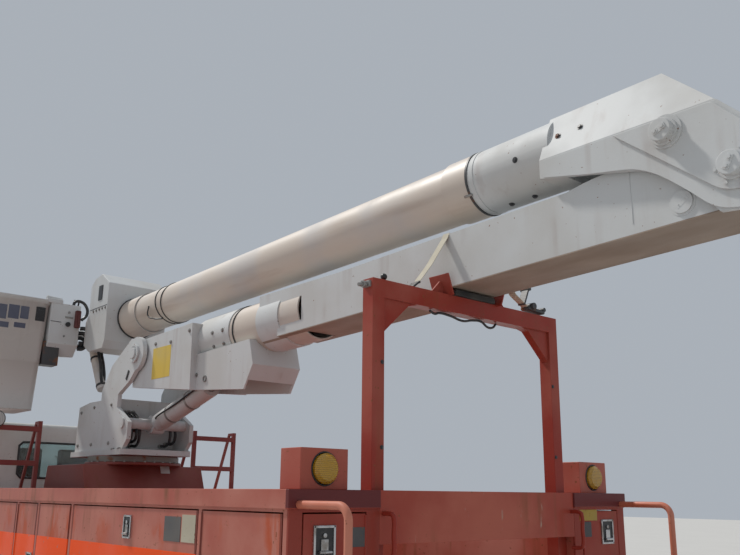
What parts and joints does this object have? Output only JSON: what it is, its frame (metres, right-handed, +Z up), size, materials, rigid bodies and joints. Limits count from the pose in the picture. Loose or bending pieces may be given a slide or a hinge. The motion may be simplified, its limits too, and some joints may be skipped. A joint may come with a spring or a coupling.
{
  "type": "cherry picker truck",
  "caption": "Conventional-cab truck with a steel utility body, a turning pedestal and a two-boom aerial device with a one-man bucket, stowed over its boom rest.",
  "frame": {"origin": "on the ground under the middle of the whole vehicle's box", "axes": "+X forward, +Y to the driver's left, +Z up"},
  "size_m": [9.732, 2.46, 3.6],
  "materials": {
    "orange_paint": "satin",
    "white_paint": "satin",
    "fibreglass": "satin",
    "chassis_black": "satin",
    "cast_iron": "matt",
    "tyre_rubber": "matt",
    "pad_rubber": "matt",
    "wheel_paint": "satin",
    "glass": "clear",
    "amber_lens": "gloss",
    "seat_vinyl": "matt",
    "black_plastic": "matt",
    "steel": "satin"
  },
  "bodies": {
    "truck": {"chassis_frame": "chassis_black", "engine_block": "cast_iron", "front_axle": "chassis_black", "rear_axle": "chassis_black", "side_pack_left": "orange_paint", "side_pack_right": "orange_paint", "lamp_boxes": "orange_paint", "grab_rails": "orange_paint", "rear_lenses": "amber_lens", "deck": "orange_paint", "boom_rest": "orange_paint", "cradle_pad": "pad_rubber", "access_ladders": "orange_paint", "pedestal": "orange_paint", "cab_shell": "white_paint", "cab_glass": "glass", "seats": "seat_vinyl", "front_bumper": "chassis_black", "side_tanks": "steel"},
    "turntable": {"turntable": "white_paint"},
    "lower_boom": {"lower_boom_base": "white_paint", "lower_boom_tube": "fibreglass", "lower_boom_elbow": "white_paint"},
    "lift_barrel": {"lift_barrel": "white_paint"},
    "lift_rod": {"lift_rod": "steel"},
    "upper_boom": {"upper_boom_elbow": "white_paint", "upper_boom_tube": "fibreglass", "boom_tip": "white_paint"},
    "bucket": {"bucket": "fibreglass", "bucket_mount": "white_paint"},
    "hood": {"hood": "white_paint"},
    "steering_wheel": {"steering_wheel": "black_plastic"},
    "cab_door_left": {"cab_door_left": "white_paint"},
    "knuckle_left": {"knuckle_left": "cast_iron"},
    "wheel_front_left": {"tyre_front_left": "tyre_rubber", "rim_front_left": "wheel_paint"},
    "wheels_rear_left": {"tyres_rear_left": "tyre_rubber", "rims_rear_left": "wheel_paint"},
    "rear_door_left": {"rear_door_left": "orange_paint"},
    "wheel_door_left": {"wheel_door_left": "orange_paint"},
    "middle_door_left": {"middle_door_left": "orange_paint"},
    "narrow_door_left": {"narrow_door_left": "orange_paint"},
    "front_door_left": {"front_door_left": "orange_paint"},
    "tail_door_left": {"tail_door_left": "orange_paint"},
    "cab_door_right": {"cab_door_right": "white_paint"},
    "knuckle_right": {"knuckle_right": "cast_iron"},
    "wheel_front_right": {"tyre_front_right": "tyre_rubber", "rim_front_right": "wheel_paint"},
    "wheels_rear_right": {"tyres_rear_right": "tyre_rubber", "rims_rear_right": "wheel_paint"},
    "rear_door_right": {"rear_door_right": "orange_paint"},
    "wheel_door_right": {"wheel_door_right": "orange_paint"},
    "middle_door_right": {"middle_door_right": "orange_paint"},
    "narrow_door_right": {"narrow_door_right": "orange_paint"},
    "front_door_right": {"front_door_right": "orange_paint"},
    "tail_door_right": {"tail_door_right": "orange_paint"}
  },
  "joints": [
    {"name": "slew", "type": "hinge", "parent": "truck", "child": "turntable", "pos_m": [0.856, 0, 1.94], "axis": [0, 0, 1], "continuous": true},
    {"name": "lower_boom_lift", "type": "hinge", "parent": "turntable", "child": "lower_boom", "pos_m": [0.346, 0, 2.752], "axis": [0, 1, 0], "range_deg": [0, 85]},
    {"name": "upper_boom_unfold", "type": "hinge", "parent": "lower_boom", "child": "upper_boom", "pos_m": [-4.69, 0, 2.912], "axis": [0, -1, 0], "range_deg": [0, 160]},
    {"name": "bucket_level", "type": "hinge", "parent": "upper_boom", "child": "bucket", "pos_m": [1.776, 0.3, 3.11], "axis": [0, 1, 0], "range_deg": [0, 75]},
    {"name": "lift_barrel_swing", "type": "hinge", "parent": "turntable", "child": "lift_barrel", "pos_m": [0.486, 0, 2.195], "axis": [0, 1, 0], "range_deg": [0, 56.2]},
    {"name": "lift_rod_slide", "type": "slide", "parent": "lift_barrel", "child": "lift_rod", "axis": [-0.9634, 0, 0.2681], "range_m": [0, 0.43]},
    {"name": "hood_tilt", "type": "hinge", "parent": "truck", "child": "hood", "pos_m": [4.586, 0, 0.74], "axis": [0, 1, 0], "range_deg": [0, 55]},
    {"name": "steer_left", "type": "hinge", "parent": "truck", "child": "knuckle_left", "pos_m": [3.926, 0.842, 0.5], "axis": [0, 0, 1], "range_deg": [-32, 32]},
    {"name": "steer_right", "type": "hinge", "parent": "truck", "child": "knuckle_right", "pos_m": [3.926, -0.842, 0.5], "axis": [0, 0, 1], "range_deg": [-32, 32]},
    {"name": "steering_wheel_turn", "type": "hinge", "parent": "truck", "child": "steering_wheel", "pos_m": [3.016, 0.52, 1.63], "axis": [-0.766, 0, 0.6428], "range_deg": [-325, 325]},
    {"name": "wheel_front_left_roll", "type": "hinge", "parent": "knuckle_left", "child": "wheel_front_left", "pos_m": [3.926, 1.01, 0.5], "axis": [0, 1, 0], "continuous": true},
    {"name": "wheels_rear_left_roll", "type": "hinge", "parent": "truck", "child": "wheels_rear_left", "pos_m": [-1.694, 0.914, 0.5], "axis": [0, 1, 0], "continuous": true},
    {"name": "cab_door_left_swing", "type": "hinge", "parent": "truck", "child": "cab_door_left", "pos_m": [3.254, 0.99, 1.3], "axis": [0, 0, -1], "range_deg": [0, 60]},
    {"name": "rear_door_left_swing", "type": "hinge", "parent": "truck", "child": "rear_door_left", "pos_m": [-2.48, 1.22, 1.131], "axis": [0, 0, -1], "range_deg": [0, 90]},
    {"name": "middle_door_left_swing", "type": "hinge", "parent": "truck", "child": "middle_door_left", "pos_m": [-0.906, 1.22, 1.131], "axis": [0, 0, 1], "range_deg": [0, 90]},
    {"name": "narrow_door_left_swing", "type": "hinge", "parent": "truck", "child": "narrow_door_left", "pos_m": [0.005, 1.22, 1.131], "axis": [0, 0, -1], "range_deg": [0, 90]},
    {"name": "wheel_door_left_drop", "type": "hinge", "parent": "truck", "child": "wheel_door_left", "pos_m": [-1.693, 1.22, 1.146], "axis": [-1, 0, 0], "range_deg": [0, 90]},
    {"name": "front_door_left_drop", "type": "hinge", "parent": "truck", "child": "front_door_left", "pos_m": [1.0085, 1.22, 1.146], "axis": [-1, 0, 0], "range_deg": [0, 90]},
    {"name": "tail_door_left_swing", "type": "hinge", "parent": "truck", "child": "tail_door_left", "pos_m": [-3.174, 0.806, 1.131], "axis": [0, 0, 1], "range_deg": [0, 90]},
    {"name": "wheel_front_right_roll", "type": "hinge", "parent": "knuckle_right", "child": "wheel_front_right", "pos_m": [3.926, -1.01, 0.5], "axis": [0, 1, 0], "continuous": true},
    {"name": "wheels_rear_right_roll", "type": "hinge", "parent": "truck", "child": "wheels_rear_right", "pos_m": [-1.694, -0.914, 0.5], "axis": [0, 1, 0], "continuous": true},
    {"name": "cab_door_right_swing", "type": "hinge", "parent": "truck", "child": "cab_door_right", "pos_m": [3.254, -0.99, 1.3], "axis": [0, 0, 1], "range_deg": [0, 60]},
    {"name": "rear_door_right_swing", "type": "hinge", "parent": "truck", "child": "rear_door_right", "pos_m": [-2.48, -1.22, 1.131], "axis": [0, 0, 1], "range_deg": [0, 90]},
    {"name": "middle_door_right_swing", "type": "hinge", "parent": "truck", "child": "middle_door_right", "pos_m": [-0.906, -1.22, 1.131], "axis": [0, 0, -1], "range_deg": [0, 90]},
    {"name": "narrow_door_right_swing", "type": "hinge", "parent": "truck", "child": "narrow_door_right", "pos_m": [0.005, -1.22, 1.131], "axis": [0, 0, 1], "range_deg": [0, 90]},
    {"name": "wheel_door_right_drop", "type": "hinge", "parent": "truck", "child": "wheel_door_right", "pos_m": [-1.693, -1.22, 1.146], "axis": [1, 0, 0], "range_deg": [0, 90]},
    {"name": "front_door_right_drop", "type": "hinge", "parent": "truck", "child": "front_door_right", "pos_m": [1.0085, -1.22, 1.146], "axis": [1, 0, 0], "range_deg": [0, 90]},
    {"name": "tail_door_right_swing", "type": "hinge", "parent": "truck", "child": "tail_door_right", "pos_m": [-3.174, -0.806, 1.131], "axis": [0, 0, -1], "range_deg": [0, 90]}
  ],
  "couplings": [
    {"joint": "upper_boom_unfold", "follows": "lower_boom_lift", "ratio": 1.88},
    {"joint": "bucket_level", "follows": "lower_boom_lift", "ratio": 0.88},
    {"joint": "lift_barrel_swing", "follows": "lower_boom_lift", "ratio": 0.65997},
    {"joint": "lift_rod_slide", "follows": "lower_boom_lift", "m_per_rad": 0.28857},
    {"joint": "steer_right", "follows": "steer_left", "ratio": 1},
    {"joint": "steering_wheel_turn", "follows": "steer_left", "ratio": 10}
  ]
}
